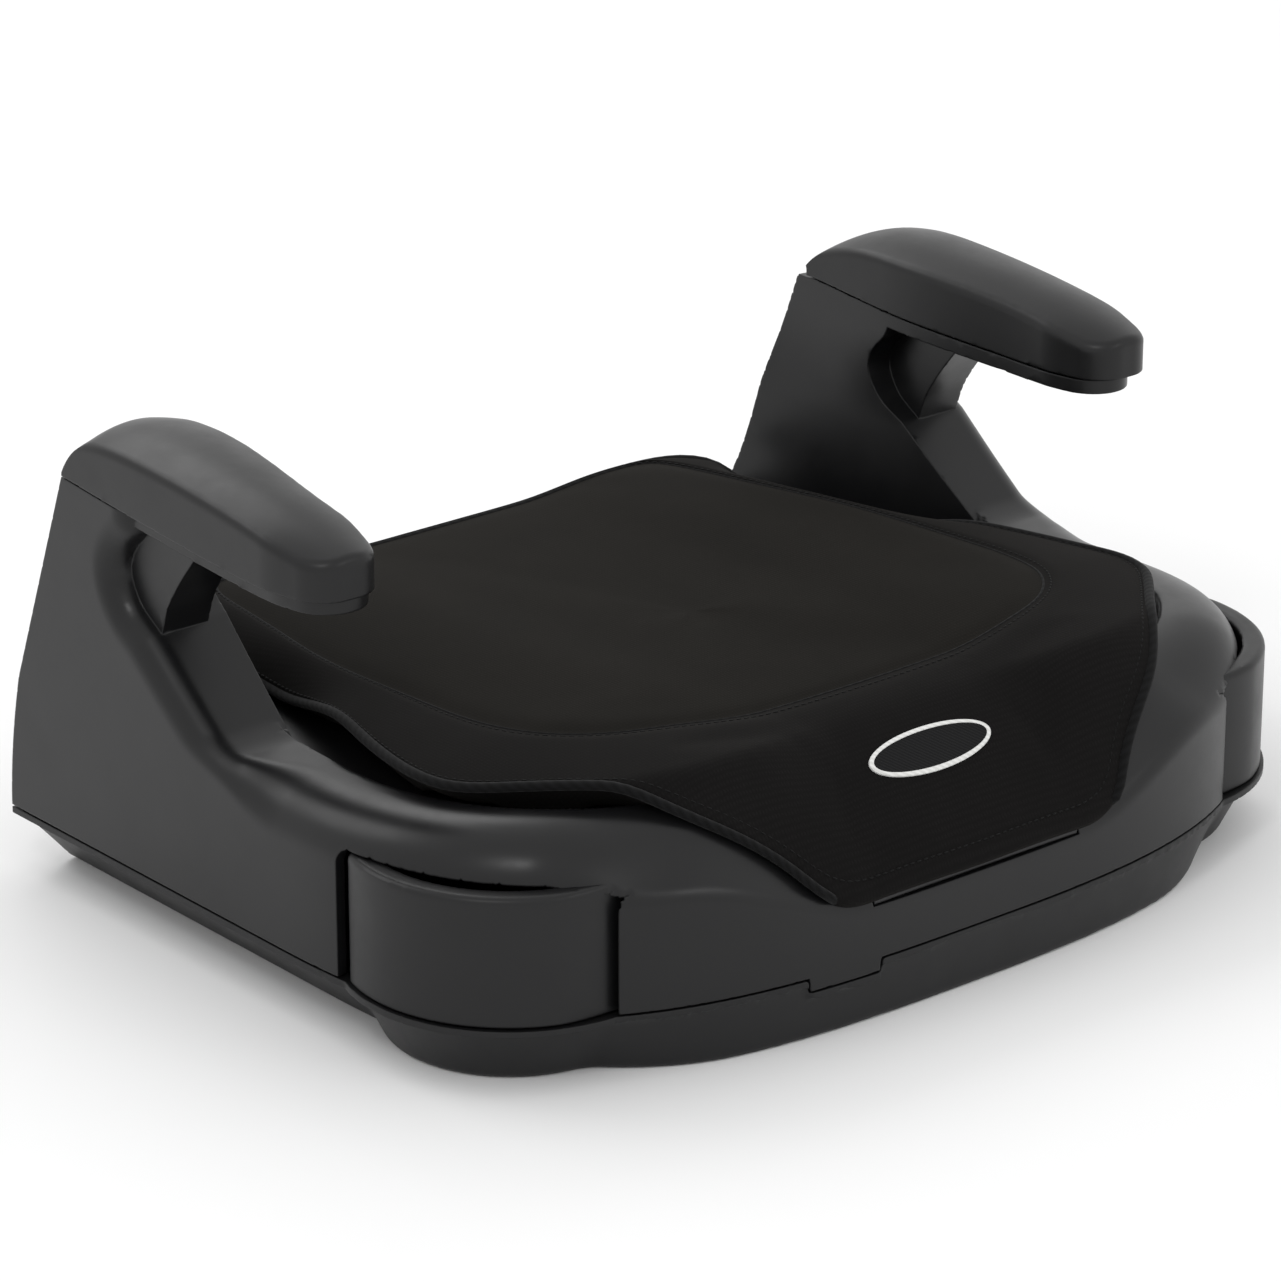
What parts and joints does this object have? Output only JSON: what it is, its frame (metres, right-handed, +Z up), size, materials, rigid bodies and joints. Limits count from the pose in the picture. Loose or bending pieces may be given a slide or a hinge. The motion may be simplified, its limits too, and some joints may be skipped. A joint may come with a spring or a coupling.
{
  "type": "booster seat",
  "caption": "Backless child booster seat: moulded shell with arms that hook the lap belt, padded cover with a front flap, and hideaway cup holders that slide out sideways.",
  "frame": {"origin": "on the surface the seat stands on, under the middle of its bounding box", "axes": "+Z up, the child faces -Y, +X to the right of someone facing the seat's front"},
  "size_m": [0.444, 0.3438, 0.2049],
  "materials": {
    "shell": "satin moulded polypropylene",
    "base": "satin moulded polypropylene",
    "cap": "satin moulded polypropylene",
    "cup": "satin moulded polypropylene",
    "screw": "zinc plated",
    "foam": "flexible foam",
    "panel_fabric": "fine knitted polyester",
    "border_fabric": "fine knitted polyester",
    "binding_tape": "woven binding tape",
    "strip": "extruded polypropylene strip",
    "label": "woven label",
    "elastic": "woven elastic"
  },
  "bodies": {
    "seat": {"upper_shell": "shell", "base_shell": "base", "left_armrest_cap": "cap", "right_armrest_cap": "cap", "left_armrest_screws": "screw", "right_armrest_screws": "screw", "seat_foam": "foam", "cover_centre_panel": "panel_fabric", "cover_border": "border_fabric", "front_flap": "border_fabric", "cover_edge_binding": "binding_tape", "centre_panel_piping": "binding_tape", "flap_tuck_strip": "strip", "woven_label": "label", "left_elastic_loops": "elastic", "right_elastic_loops": "elastic", "rear_elastic_loops": "elastic", "base_screws": "screw"},
    "left_cup": {"left_cup_holder": "cup"},
    "right_cup": {"right_cup_holder": "cup"}
  },
  "joints": [
    {"name": "left_cup_slide", "type": "slide", "parent": "seat", "child": "left_cup", "axis": [-1, 0, 0], "range_m": [0, 0.085]},
    {"name": "right_cup_slide", "type": "slide", "parent": "seat", "child": "right_cup", "axis": [1, 0, 0], "range_m": [0, 0.085]}
  ]
}
